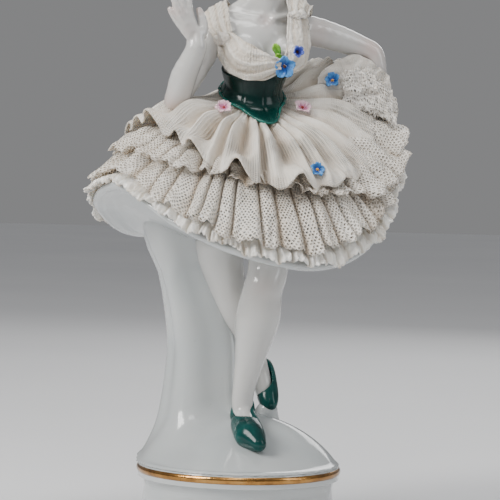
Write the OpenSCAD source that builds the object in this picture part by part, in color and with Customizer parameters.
// Porcelain dancer in a lace-dipped skirt, standing on a round gilded plinth.
// Millimetres, +Z up. The origin is the centre of the foot ring, in the plane
// of the table, and the figure faces -Y. "Right" and "left" are the dancer's.

/* [Plinth] */
// Radius of the gilded bead
bead_radius = 35.8; // [35.4:0.1:36.6]
// Height of the bead's centre over the table
bead_height = 19.5; // [18:0.5:21]
// Radius of the drum between the foot and the bead
drum_radius = 33; // [31:0.5:34]
// Radius of the foot moulding
foot_radius = 36.4; // [35:0.1:37]
// Thickness of the cast wall
wall = 4; // [3:0.5:5]
// Radius of the firing vent in the underside
vent_radius = 1.8; // [1:0.1:1.9]

/* [Ground] */
// Height of the mound over the plinth
mound_rise = 18; // [14:0.5:19]
// Roundness of the mound's back, where a small value is fuller
mound_power = 0.8; // [0.6:0.05:1]

/* [Skirt] */
// Radius of the skirt at the waist
waist_radius = 8.5; // [8:0.5:9.5]
// Height of the waist's middle
waist_height = 149.5; // [148:0.5:151]
// How much the waist rises from its middle to the back
waist_rise = 6; // [4:0.5:8]
// Direction in which the waist rises, in degrees from the back towards the right hip
waist_lean = 14; // [0:1:20]
// Curve of the slope, where 1 is a straight cone
slope_power = 1.3; // [1.1:0.05:1.5]
// Thickness of the skirt form's rolled rim
rim_thickness = 3; // [2:0.1:3.5]
// Pleats round each flounce
pleats = 36; // [30:2:42]
// Depth of the flounces' pleats
pleat_depth = 1.5; // [1:0.1:1.8]

/* [Figure] */
// Thickness of the laced bodice over the body
bodice_thickness = 0.8; // [0.6:0.1:1.2]
// Thickness of the lace drapes over the body
drape_thickness = 1.6; // [1.2:0.1:2]
// Height of the middle of the head
head_height = 201.5; // [200:0.5:203]

/* [Flowers] */
// Radius of a blue flower
blue_radius = 2.9; // [2.4:0.1:3.3]
// Radius of a pink flower
pink_radius = 3.3; // [2.6:0.1:3.6]

/* [Hidden] */

glaze = "white";
skin = "mistyrose";
net = "ivory";
dark_green = "#0b4a3e";

limb_turns = 16;
finger_turns = 8;
end_width = 0.6;
end_reach = 0.7;
form_steps = 60;
pleat_steps = pleats * 3;
joint_gap = 0.1;
tier_gap = 0.15;

ground_z = bead_height + 1.6;
bead_section = 1.6;
plate_radius = 35.2;
mound_radius = 35;
foot_ring = 5;
foot_rise = 1.5;

skirt_x = 1.5;
under_height = 97.5;
under_hollow = 1.2;
cast_wall = 3;
form_vent = [14, 14, 85];

// Rim of the skirt form, every 30 degrees from +X through +Y: [radius, height]
rim = [
    [52, 129], [49.5, 159], [48.5, 149], [48.5, 124], [49.5, 104.5], [51.5, 102.5],
    [54.5, 113], [51.5, 119], [49, 107], [50.5, 97.6], [51.8, 94.4], [51, 104.4]
];

// The column's sections: [height, x, y, half width, half depth]
column_sections = [
    [ground_z - 0.5, -17, 4, 17, 15], [27, -15.5, 4, 16, 13], [37, -14, 5, 14.5, 11],
    [50, -13.8, 6.5, 12.8, 9.4], [62, -13.9, 8, 12.1, 8.6], [75, -16.4, 9.5, 11.2, 8.4],
    [87, -20, 12, 10.4, 9], [95, -22, 14, 12.5, 11.5], [108, -23, 16, 16, 15]
];

// Limbs as chains of [x, y, z, radius]
left_leg_chain = [
    [8.5, -3, 112, 8.4], [8.7, -8, 91, 6.9], [7, -9.5, 83, 6.6], [5.5, -9, 73, 7.5],
    [3.3, -8.2, 60, 5.3], [1.4, -6.8, 49, 3.8], [0.8, -5.6, 43, 3.5], [1.5, -7, 38.6, 3.2],
    [3.5, -13.5, 35.6, 3.2], [6, -20.5, 32.2, 2]
];
right_leg_chain = [
    [-8, 7, 112, 9], [-8.6, 6, 97, 8.4], [-5.8, 7, 84, 6.7], [-1.8, 8, 74, 7],
    [1.8, 9.6, 65, 5.6], [5, 11.6, 57, 3.8], [7, 12, 51, 3.3], [8.4, 11, 46, 2.8], [9.4, 9, 43, 1.8]
];
left_shoe_chain = [
    [0.2, -3.6, 39.6, 2.6], [0.9, -5.8, 38.4, 3.9], [2.6, -12, 35.6, 4.6],
    [4.3, -18, 32.8, 4.7], [6.8, -23.2, 30.6, 2.5]
];
right_shoe_chain = [
    [8.8, 15, 55.6, 1.6], [8.8, 13.8, 52.6, 3.1], [9.2, 11.6, 47.6, 3.8],
    [10, 8.4, 43.2, 3.4], [10.8, 6.2, 41.4, 2.1]
];
right_arm_chain = [
    [-8, -2.5, 172.5, 4.4], [-13, -4.5, 168, 4.8], [-18.5, -7.5, 158, 4.4],
    [-24.2, -10.5, 147.6, 4], [-23.8, -12, 148.5, 3.9], [-21.8, -14, 155.5, 4.1], [-17.3, -16.8, 165, 3]
];
left_arm_chain = [
    [15, 5, 174, 4.6], [22, 8, 173.6, 5], [32, 11.5, 171.2, 4.5], [40, 14, 168.6, 3.6],
    [44.6, 15, 166.2, 3.5], [46, 15.4, 160.5, 3]
];
right_palm_chain = [
    [-17.3, -16.8, 165, 2.8], [-18.4, -17.2, 169.5, 3.3],
    [-20.6, -17.8, 174.2, 2.8], [-21.4, -18, 176, 1.6]
];
right_finger_chains = [
    [[-19.8, -17.4, 173.6, 1.6], [-20.8, -17.6, 179.6, 1.4], [-21, -17.4, 184.4, 1]],
    [[-21, -17.8, 173.6, 1.6], [-23, -18.4, 179.8, 1.4], [-23.6, -18.4, 184.6, 1]],
    [[-21.8, -18, 173, 1.6], [-24.8, -19, 178, 1.3], [-26, -19.4, 182.4, 1]],
    [[-21.8, -18, 171.4, 1.5], [-25, -18.6, 175, 1.2], [-27.2, -18.8, 178, 0.9]],
    [[-17.4, -16.4, 169, 1.8], [-15.8, -15.6, 173.6, 1.5], [-17, -15.4, 177.8, 1]]
];
left_palm_chain = [
    [46, 15.4, 160.5, 2.8], [46.3, 16.6, 157, 3.1], [46, 17.6, 153.6, 2.6], [45.6, 18, 150.8, 1.6]
];

// Body sections: [height, x, y, half width, half depth, turn towards the left]
body_sections = [
    [140, 2.5, 0, 8.2, 7.2, 28], [148, 2.2, 0, 8.4, 7.4, 28], [155, 2, -0.6, 10.2, 8, 28],
    [161, 2.4, -1, 12.4, 8.6, 25], [167, 3, -0.6, 13.8, 8.2, 20], [172, 3.6, 0.4, 15, 7, 14],
    [176.5, 4.2, 1.2, 14, 5.6, 12], [180, 5, 1.4, 9, 5, 12], [183.5, 5.6, 1, 5.4, 4.8, 12],
    [192, 6.6, 0.4, 4.8, 4.8, 12]
];
breasts = [-118, -62];
breast_z = 163.5;
breast_rise = 5;
breast_height = 5.5;
breast_width = 22;
body_top = 192;

// Head: [height over its middle, half width, front reach, back reach]
head_sections = [
    [-11.4, 2.6, 8, 0], [-9.8, 4.6, 8.8, 3.5], [-6.5, 6.4, 9, 6.5], [-2, 7.6, 8.8, 9], [3, 8.2, 8.8, 10],
    [7.5, 7.4, 8, 9.4], [10.5, 5, 5.4, 6.6], [11.9, 1.6, 2, 2.4]
];
head_x = 7.4;
head_y = 0;
head_turn = 14;
hair_gap = 0.02;
hair_depth = 1.5;
ribbon_radius = 5.2;
ribbon_section = 1;
petal_height = 0.8;
leaf_radius = 2;
eye_radius = 0.6;
eye_height = 0.5;

function smooth(t) = let(c = min(max(t, 0), 1)) c * c * (3 - 2 * c);
function mix(a, b, t) = a + (b - a) * t;
function unit(v) = v / norm(v);
function curve(a, b, c, d, t) =
    b + 0.5 * t * (c - a + t * (2 * a - 5 * b + 4 * c - d + t * (3 * (b - c) + d - a)));

// A value of a list that goes round, at an angle
function around(list, angle) =
    let(n = len(list), s = (angle % 360 + 360) % 360 / 360 * n, i = floor(s))
    curve(list[(i - 1 + n) % n], list[i % n], list[(i + 1) % n], list[(i + 2) % n], s - i);

// A value of an open list, where s runs from 0 to its last index
function along(list, s) =
    let(last = len(list) - 1, i = min(floor(s), last - 1))
    curve(list[max(i - 1, 0)], list[i], list[i + 1], list[min(i + 2, last)], s - i);

// The row of a table whose first column is the height z
function at_height(table, z, i = 0) =
    i >= len(table) - 2 || table[i + 1][0] >= z
        ? along(table, i + min(max((z - table[i][0]) / (table[i + 1][0] - table[i][0]), 0), 1))
        : at_height(table, z, i + 1);

function ring_middle(ring) =
    [for (k = [0:2]) [for (p = ring) p[k]] * [for (p = ring) 1] / len(ring)];

// Skins rings with equal numbers of points, then caps the ends or joins last to first
module loft(rings, closed = false) {
    n = len(rings[0]);
    m = len(rings);
    rows = [for (ring = rings) each ring];
    middles = [ring_middle(rings[0]), ring_middle(rings[m - 1])];
    sides = [
        for (j = [0:(closed ? m - 1 : m - 2)], i = [0:n - 1])
            let(a = j * n, b = ((j + 1) % m) * n, k = (i + 1) % n)
            each [[a + i, b + i, b + k], [a + i, b + k, a + k]]
    ];
    caps = [
        for (i = [0:n - 1])
            let(k = (i + 1) % n, top = (m - 1) * n)
            each [[m * n, i, k], [m * n + 1, top + k, top + i]]
    ];
    if (closed) polyhedron(rows, sides, convexity = 8);
    else polyhedron(concat(rows, middles), concat(sides, caps), convexity = 8);
}

// A round limb along a chain of [x, y, z, radius]
function chain_point(chain, s) = let(p = along(chain, s)) [p[0], p[1], p[2]];
function limb_ring(chain, s, side, turns) =
    let(
        last = len(chain) - 1,
        direction = unit(chain_point(chain, min(s + 0.1, last)) - chain_point(chain, max(s - 0.1, 0))),
        u = unit(cross(side, direction)),
        v = cross(direction, u),
        r = along(chain, s)[3]
    )
    [
        for (i = [0:turns - 1])
            let(a = 360 * i / turns)
            chain_point(chain, s) + r * (cos(a) * u + sin(a) * v)
    ];

// The smaller ring that rounds off one end of a limb
function end_ring(chain, at_end, side, turns) =
    let(
        last = len(chain) - 1,
        s = at_end ? last : 0,
        ring = limb_ring(chain, s, side, turns),
        middle = ring_middle(ring),
        step = at_end ? chain_point(chain, last) - chain_point(chain, last - 0.1)
                      : chain_point(chain, 0) - chain_point(chain, 0.1)
    )
    [for (p = ring) middle + (p - middle) * end_width + unit(step) * along(chain, s)[3] * end_reach];

module limb(chain, side = [0, 1, 0], steps = 2, turns = limb_turns) {
    last = len(chain) - 1;
    loft(concat(
        [end_ring(chain, false, side, turns)],
        [for (j = [0:last * steps]) limb_ring(chain, j / steps, side, turns)],
        [end_ring(chain, true, side, turns)]
    ));
}

// Hands its children over as one closed mesh
module one_mesh() {
    resize([0, 0, 0]) children();
}

// --- Skirt -------------------------------------------------------------------

// Height of the waist's sloping edge at an angle
function waist_level(angle) = waist_height + waist_rise * sin(angle - waist_lean);

// A point at an angle: t runs from the waist (0) to the rim (1), lift is the distance over the form
function skirt_point(angle, t, lift) =
    let(
        edge = around(rim, angle),
        top = waist_level(angle),
        run = edge[0] - waist_radius,
        drop = edge[1] - top,
        slope = [run, drop * slope_power * pow(max(t, 0.1), slope_power - 1)],
        out = [-slope[1], slope[0]] / norm(slope),
        r = waist_radius + run * t + lift * out[0],
        z = top + drop * pow(max(t, 0), slope_power) + lift * out[1]
    )
    [skirt_x + r * cos(angle), r * sin(angle), z];

// A point of the underside: s runs from the rim (0) to the middle (1)
function under_point(angle, s) =
    let(
        edge = around(rim, angle),
        r = (edge[0] - 1.2) * (1 - s),
        level = mix(edge[1] - rim_thickness, under_height, smooth(s / 0.85)),
        hollow = under_hollow * (smooth(s / 0.12) - smooth((s - 0.12) / 0.6))
    )
    [skirt_x + r * cos(angle), r * sin(angle), level + hollow];

// The form is one stack of rings, from the middle of the underside out to the rim and up to the waist
module rings_stack(rows) {
    count = len(rows[0]);
    loft([for (k = [count - 1:-1:0]) [for (row = rows) row[k]]]);
}

module form_solid() {
    rings_stack([
        for (i = [0:form_steps - 1]) let(a = 360 * i / form_steps) concat(
            [for (t = [0, 0.15, 0.3, 0.45, 0.6, 0.8, 1]) skirt_point(a, t, 0)],
            [for (s = [0, 0.06, 0.14, 0.3, 0.55, 0.85]) under_point(a, s)]
        )
    ]);
}

module form_cavity() {
    rings_stack([
        for (i = [0:form_steps / 2 - 1]) let(a = 720 * i / form_steps) concat(
            [for (t = [0.05, 0.3, 0.55, 0.8]) skirt_point(a, t, -cast_wall)],
            [for (s = [0.3, 0.55, 0.85]) under_point(a, s) + [0, 0, cast_wall]]
        )
    ]);
}

// How far a pleat stands out at an angle, from 0 in a valley to 1 on a crest
function pleat(angle) = abs(sin(angle * pleats / 2));

// A tier's faces are rows of [t, lift, share of the pleat depth], from the waist side down
function tier_ring(angle, outer, inner) =
    let(n = len(inner) - 1)
    concat(
        [for (row = outer) skirt_point(angle, row[0], row[1] + row[2] * pleat_depth * pleat(angle))],
        [for (i = [n:-1:0]) skirt_point(angle, inner[i][0], inner[i][1])]
    );
module tier(outer, inner) {
    loft([for (a = [0:pleat_steps - 1]) tier_ring(360 * a / pleat_steps, outer, inner)], closed = true);
}

// --- Body --------------------------------------------------------------------

// 1 at an angle, falling off smoothly over a width in degrees
function bump(angle, middle, width) =
    let(d = ((angle - middle) % 360 + 540) % 360 - 180) exp(-d * d / (width * width));

// A point of the body, or of what lies at a distance over it
function body_point(angle, z, grow) =
    let(
        row = at_height(body_sections, z),
        swell = breast_rise * exp(-pow((z - breast_z) / breast_height, 2))
            * (bump(angle, breasts[0], breast_width) + bump(angle, breasts[1], breast_width)),
        p = [(row[3] + grow) * cos(angle), (row[4] + grow + swell) * sin(angle)]
    )
    [
        row[1] + p[0] * cos(row[5]) - p[1] * sin(row[5]),
        row[2] + p[0] * sin(row[5]) + p[1] * cos(row[5]),
        z
    ];

// The body stands on the sloping plane of the skirt's waist
function waist_plane(p) =
    waist_height + joint_gap
    + waist_rise * (p[1] * cos(waist_lean) - (p[0] - skirt_x) * sin(waist_lean)) / waist_radius;
module body_solid(grow = 0) {
    rows = 18;
    loft([
        for (j = [0:rows]) [
            for (i = [0:23])
                let(low = waist_plane(body_point(i * 15, waist_height, grow)))
                body_point(i * 15, mix(low, body_top, j / rows), grow)
        ]
    ]);
}

// A band over the body between two angles, whose lower and upper edges are lists of heights
function band_ring(angle, low, high, inner, outer) =
    concat(
        [for (k = [3:-1:0]) body_point(angle, mix(low, high, k / 3), outer)],
        [for (k = [0:3]) body_point(angle, mix(low, high, k / 3), inner)]
    );
module band(start, end, lows, highs, inner, outer, steps = 18) {
    whole = end - start >= 360;
    loft([
        for (i = [0:(whole ? steps - 1 : steps)])
            let(
                u = i / steps,
                angle = mix(start, end, u),
                low = whole ? around(lows, u * 360) : along(lows, u * (len(lows) - 1)),
                high = whole ? around(highs, u * 360) : along(highs, u * (len(highs) - 1))
            )
            band_ring(angle, low, high, inner, outer)
    ], closed = whole);
}

// --- Sub-parts -----------------------------------------------------------------

module plinth() {
    top = ground_z;
    color(glaze) difference() {
        rotate_extrude($fn = 96) polygon(concat(
            [[0, foot_rise], [foot_radius - foot_ring - 1, foot_rise], [foot_radius - foot_ring, 0]],
            [for (a = [-90:22.5:90]) [foot_radius - 2 + 2 * cos(a), 2 + 2 * sin(a)]],
            [for (a = [-90:15:0])
                [foot_radius - 3 + (foot_radius - 3 - drum_radius) * sin(a), 8.4 + 4.4 * sin(a)]],
            [for (a = [0:15:90])
                [drum_radius + (plate_radius - drum_radius) * (1 - cos(a)), 13 + 3.6 * sin(a)]],
            [[plate_radius, top - 0.6], [plate_radius - 0.2, top], [0, top]]
        ));
        rotate_extrude($fn = 96) polygon([
            [0, foot_rise + wall], [drum_radius - wall, foot_rise + wall],
            [drum_radius - wall, top - wall], [0, top - wall]
        ]);
        translate([-12, 10, -1]) cylinder(r = vent_radius, h = foot_rise + wall + 2, $fn = 32);
    }
}

module gilded_bead() {
    color("goldenrod") rotate_extrude($fn = 96) difference() {
        translate([bead_radius - bead_section, bead_height - 0.1]) circle(r = bead_section, $fn = 32);
        translate([plate_radius - 10, 0]) square([10, 2 * bead_height]);
    }
}

// The mound's height over a place: a dome behind, and a steeper slope in front
function mound_z(r, angle) =
    let(
        share = min(r / mound_radius, 1),
        front = smooth(-sin(angle) * 1.4 - 0.1),
        dome = pow(1 - share * share, mound_power),
        slope = pow(1 - share, 0.9)
    )
    ground_z + mound_rise * mix(dome, slope, front) + 0.01;

module mound_solid() {
    shares = [1, 0.98, 0.93, 0.85, 0.7, 0.5, 0.3, 0.15];
    loft(concat(
        [[for (i = [0:39]) [mound_radius * cos(i * 9), mound_radius * sin(i * 9), ground_z]]],
        [for (share = shares) [
            for (i = [0:39])
                let(a = i * 9, r = share * mound_radius)
                [r * cos(a), r * sin(a), mound_z(r, a) + 0.2]
        ]]
    ));
}

module column_solid() {
    heights = [ground_z, 24, 27, 31, 36, 43, 52, 62, 73, 83, 90, 95, 100, 107];
    loft([
        for (z = heights) let(row = at_height(column_sections, z))
            [for (i = [0:19]) let(a = i * 18) [row[1] + row[3] * cos(a), row[2] + row[4] * sin(a), z]]
    ]);
}

module mound() {
    color(glaze) one_mesh() difference() {
        mound_solid();
        column_solid();
        limb(left_shoe_chain, [1, 0, 0]);
        right_heel_pad_solid();
        limb(right_shoe_chain, [1, 0, 0]);
    }
}

module support_column() {
    color(glaze) one_mesh() difference() {
        column_solid();
        form_solid();
        limb(right_leg_chain);
    }
}

module right_leg() {
    color(skin) one_mesh() difference() {
        limb(right_leg_chain);
        form_solid();
    }
}

module left_leg() {
    color(skin) one_mesh() difference() {
        limb(left_leg_chain);
        form_solid();
    }
}

module left_shoe() {
    color(dark_green) one_mesh() difference() {
        limb(left_shoe_chain, [1, 0, 0], 3);
        limb(left_leg_chain);
        translate([2.2, -9, 42.5]) sphere(r = 4.2, $fn = 16);
    }
}

module right_shoe() {
    color(dark_green) one_mesh() difference() {
        limb(right_shoe_chain, [1, 0, 0], 3);
        limb(right_leg_chain);
    }
}

module right_heel_pad_solid() {
    translate([9, 9.5, 34]) cylinder(r1 = 5, r2 = 4, h = 6.4, $fn = 40);
}

module right_heel_pad() {
    color(glaze) one_mesh() difference() {
        right_heel_pad_solid();
        limb(right_shoe_chain, [1, 0, 0], 3);
    }
}

module skirt_form() {
    color(glaze) one_mesh() difference() {
        form_solid();
        form_cavity();
        translate(form_vent) cylinder(r = vent_radius, h = 36, $fn = 16);
    }
}

module lower_flounce() {
    color(net) tier(
        [[0.52, 0.5, 0.2], [0.62, 0.6, 0.7], [0.78, 0.6, 1], [0.935, 0.5, 1]],
        [[0.52, tier_gap], [0.72, tier_gap], [0.935, tier_gap]]
    );
}

module middle_flounce() {
    color(net) tier(
        [[0.38, 0.6, 0.2], [0.45, 1.9, 0.4], [0.52, 2.9, 0.7], [0.68, 2.9, 1], [0.84, 2.8, 1]],
        [[0.38, tier_gap], [0.52, 2.4], [0.68, 2.4], [0.84, 2.4]]
    );
}

module overskirt() {
    color(net) tier(
        [
            [0.03, 0.8, 0.2], [0.14, 1.3, 0.4], [0.28, 1.7, 0.7],
            [0.37, 3.6, 0.8], [0.45, 5.3, 1], [0.65, 5, 1]
        ],
        [[0.03, tier_gap], [0.28, tier_gap], [0.37, 2.3], [0.45, 4.6], [0.65, 4.6]]
    );
}

module hem_ruffle() {
    color(net) tier(
        [[0.94, 0.8, 0.4], [0.97, 1.7, 0.9], [1.03, 1.4, 0.7]],
        [[0.94, tier_gap], [1.03, tier_gap]]
    );
}

// The lace that the left hand lifts: a folded leaf that stands on the skirt
lifted_tops = [[25, 7.6, 158.6], [31, 8.6, 162], [37, 9.6, 165.2], [43, 9.6, 163], [48.6, 9.4, 159.6]];
lifted_bottoms = [[26, 8, 154], [32, 8, 152.5], [38, 8, 151], [44, 7.6, 148.5], [50, 7.4, 145.5]];
module lifted_lace() {
    thick = 1;
    color(net) one_mesh() difference() {
        loft([
            for (j = [0:12])
                let(
                    s = j / 3,
                    low = along(lifted_bottoms, s),
                    high = along(lifted_tops, s),
                    fold = [0, 0.8 * sin(j * 90), 0]
                )
                [
                    low + [0, -thick, 0], low + [0, thick, 0],
                    (low + high) / 2 + [0, thick, 0] + fold, high + [0, thick / 2, 0],
                    high + [0, -thick / 2, 0], (low + high) / 2 + [0, -thick, 0] + fold
                ]
        ]);
        hull_of_skirt();
        limb(left_arm_chain);
        limb(left_palm_chain);
    }
}

// Everything under the lace tiers' outer faces, for cutting what stands on them
module hull_of_skirt() {
    form_solid();
    lower_flounce();
    middle_flounce();
    overskirt();
}

module body() {
    color(skin) body_solid();
}

// Upper edge of the bodice, every 30 degrees round the body from its left side through its back
bodice_high = [160, 160.5, 161, 161, 161, 160.5, 159.6, 157.5, 155, 154, 155, 157.5];
waist_turn = body_sections[0][5];
edge_height = 1.1;
edge_start = [for (i = [0:11]) waist_level(i * 30 + waist_turn) + 0.5];
module bodice() {
    color(dark_green) {
        band(0, 360, [for (z = edge_start) z + edge_height], bodice_high, tier_gap, bodice_thickness, 30);
    }
}

module bodice_edge() {
    color(dark_green) {
        band(0, 360, edge_start, [for (z = edge_start) z + edge_height - joint_gap], tier_gap,
            bodice_thickness + 0.5, 30);
    }
}

module place_head() {
    translate([head_x, head_y, head_height]) rotate([0, 0, head_turn]) children();
}

module head_solid(grow = 0) {
    rows = [for (j = [0:14]) at_height(head_sections, mix(-11.4, 11.9, j / 14))];
    place_head() loft([
        for (row = rows) [
            for (i = [0:23])
                let(a = i * 15, reach = sin(a) < 0 ? row[2] : row[3])
                [(row[1] + grow) * cos(a), (reach + grow) * sin(a), row[0] * (1 + grow / 12)]
        ]
    ]);
}

module nose() {
    place_head() translate([0, -8.6, -2.4]) rotate([-14, 0, 0])
        cylinder(r1 = 1.7, r2 = 0.7, h = 5.4, $fn = 24);
}

module head() {
    color(skin) one_mesh() difference() {
        union() {
            head_solid();
            nose();
        }
        body_solid();
    }
}

module hair_solid() {
    intersection() {
        head_solid(hair_depth);
        place_head() union() {
            translate([-15, -3.5, -9]) cube([30, 20, 25]);
            translate([-15, -15, 5.8]) cube([30, 20, 12]);
        }
    }
}

module hair() {
    color("saddlebrown") one_mesh() difference() {
        hair_solid();
        head_solid(hair_gap);
        nose();
        body_solid(hair_gap);
    }
}

module bun_solid() {
    place_head() translate([0, 10.6, 5]) scale([1, 0.85, 0.95]) sphere(r = 5.6, $fn = 24);
}

module hair_bun() {
    color("saddlebrown") one_mesh() difference() {
        bun_solid();
        hair_solid();
        head_solid(hair_gap);
    }
}

module hair_ribbon() {
    color(dark_green) one_mesh() difference() {
        place_head() translate([0, 8.6, 5]) rotate([90, 0, 0]) rotate_extrude($fn = 40)
            translate([ribbon_radius, 0]) circle(r = ribbon_section, $fn = 16);
        hair_solid();
        head_solid(hair_gap);
        bun_solid();
    }
}

module right_arm() {
    color(skin) one_mesh() difference() {
        limb(right_arm_chain);
        body_solid();
        overskirt();
        form_solid();
    }
}

module right_hand() {
    color(skin) one_mesh() difference() {
        union() {
            limb(right_palm_chain);
            for (chain = right_finger_chains) limb(chain, turns = finger_turns);
        }
        limb(right_arm_chain);
    }
}

module left_arm() {
    color(skin) one_mesh() difference() {
        limb(left_arm_chain);
        body_solid();
    }
}

module left_hand() {
    color(skin) one_mesh() difference() {
        limb(left_palm_chain);
        limb(left_arm_chain);
        hull_of_skirt();
    }
}

module arms_and_body() {
    limb(right_arm_chain);
    limb(left_arm_chain);
    body_solid();
}

right_strap_chain = [
    [-10, 2, 177.5, 2.4], [-11, -4, 176.4, 3], [-9.6, -8.5, 172.6, 2.6], [-7.4, -11, 169, 2]
];
left_strap_chain = [
    [17.5, 7, 177.6, 2.2], [19.2, 1, 177.4, 3], [18.6, -4.5, 173.6, 2.6], [17.4, -8.4, 169, 2]
];

module right_shoulder_drape() {
    color(net) one_mesh() difference() {
        limb(right_strap_chain, [1, 0, 0]);
        arms_and_body();
    }
}

module left_shoulder_drape() {
    color(net) one_mesh() difference() {
        limb(left_strap_chain, [1, 0, 0]);
        arms_and_body();
    }
}

module bust_drape(start, end, lows, highs) {
    difference() {
        band(start, end, lows, highs, 0.05, drape_thickness);
        limb(right_arm_chain);
        limb(left_arm_chain);
        limb(right_strap_chain, [1, 0, 0]);
        limb(left_strap_chain, [1, 0, 0]);
        bodice();
    }
}

module right_bust_drape() {
    color(net) one_mesh()
        bust_drape(-165, -82, [160.5, 157.5, 155, 154.6, 157], [168, 164, 160.5, 159.5, 162]);
}

module left_bust_drape() {
    color(net) one_mesh()
        bust_drape(-80.5, -12, [157.5, 156, 157.5, 161, 163], [162, 163, 165.5, 168.5, 169]);
}

// A five-petalled flower that faces +Z
module petals(radius) {
    linear_extrude(petal_height)
        for (i = [0:4]) rotate(i * 72) translate([radius * 0.55, 0]) circle(r = radius * 0.45, $fn = 24);
}
module leaves(radius) {
    linear_extrude(petal_height) for (a = [60, 160]) rotate(a) intersection() {
        translate([radius * 0.8, radius * 0.45]) circle(r = radius, $fn = 32);
        translate([radius * 0.8, -radius * 0.45]) circle(r = radius, $fn = 32);
    }
}

// A seat is a place and the direction that a flower on it faces
function skirt_seat(angle, t, lift) =
    let(
        down = skirt_point(angle, t + 0.02, lift) - skirt_point(angle, t - 0.02, lift),
        round = skirt_point(angle + 1, t, lift) - skirt_point(angle - 1, t, lift)
    )
    [skirt_point(angle, t, lift), unit(cross(down, round))];
function body_seat(angle, z, lift) =
    let(turn = at_height(body_sections, z)[5])
    [body_point(angle, z, lift), unit([cos(angle + turn), sin(angle + turn), 0.15])];
module on_seat(seat) {
    translate(seat[0]) rotate([0, acos(seat[1][2]), atan2(seat[1][1], seat[1][0])]) children();
}

bust_lift = drape_thickness + 0.2;
bust_blue = body_seat(-63, 161, bust_lift);
bust_violet = body_seat(-50, 165.4, bust_lift);
bust_green = body_seat(-76, 165.4, bust_lift);
skirt_blue_front = skirt_seat(305, 0.58, 6.8);
skirt_blue_side = skirt_seat(15, 0.48, 6.9);
skirt_pink_right = skirt_seat(345, 0.19, 2.6);
skirt_pink_left = skirt_seat(235, 0.16, 2.5);

module bust_blue_flower() {
    color("royalblue") on_seat(bust_blue) petals(blue_radius + 0.3);
}
module bust_violet_flower() {
    color("slateblue") on_seat(bust_violet) petals(blue_radius - 0.3);
}
module bust_leaves() {
    color("seagreen") on_seat(bust_green) leaves(leaf_radius);
}
module skirt_blue_flower_front() {
    color("royalblue") on_seat(skirt_blue_front) petals(blue_radius);
}
module skirt_blue_flower_side() {
    color("royalblue") on_seat(skirt_blue_side) petals(blue_radius);
}
module skirt_pink_flower_right() {
    color("thistle") on_seat(skirt_pink_right) petals(pink_radius);
}
module skirt_pink_flower_left() {
    color("thistle") on_seat(skirt_pink_left) petals(pink_radius);
}
module flower_eyes() {
    seats = [
        bust_blue, bust_violet, skirt_blue_front, skirt_blue_side, skirt_pink_right, skirt_pink_left
    ];
    color("saddlebrown") for (seat = seats)
        on_seat(seat) translate([0, 0, petal_height]) cylinder(r = eye_radius, h = eye_height, $fn = 24);
}

plinth();
gilded_bead();
mound();
support_column();
right_leg();
left_leg();
right_shoe();
left_shoe();
right_heel_pad();
skirt_form();
lower_flounce();
middle_flounce();
overskirt();
hem_ruffle();
lifted_lace();
body();
bodice();
bodice_edge();
head();
hair();
hair_bun();
hair_ribbon();
right_arm();
right_hand();
left_arm();
left_hand();
right_shoulder_drape();
left_shoulder_drape();
right_bust_drape();
left_bust_drape();
bust_blue_flower();
bust_violet_flower();
bust_leaves();
skirt_blue_flower_front();
skirt_blue_flower_side();
skirt_pink_flower_right();
skirt_pink_flower_left();
flower_eyes();
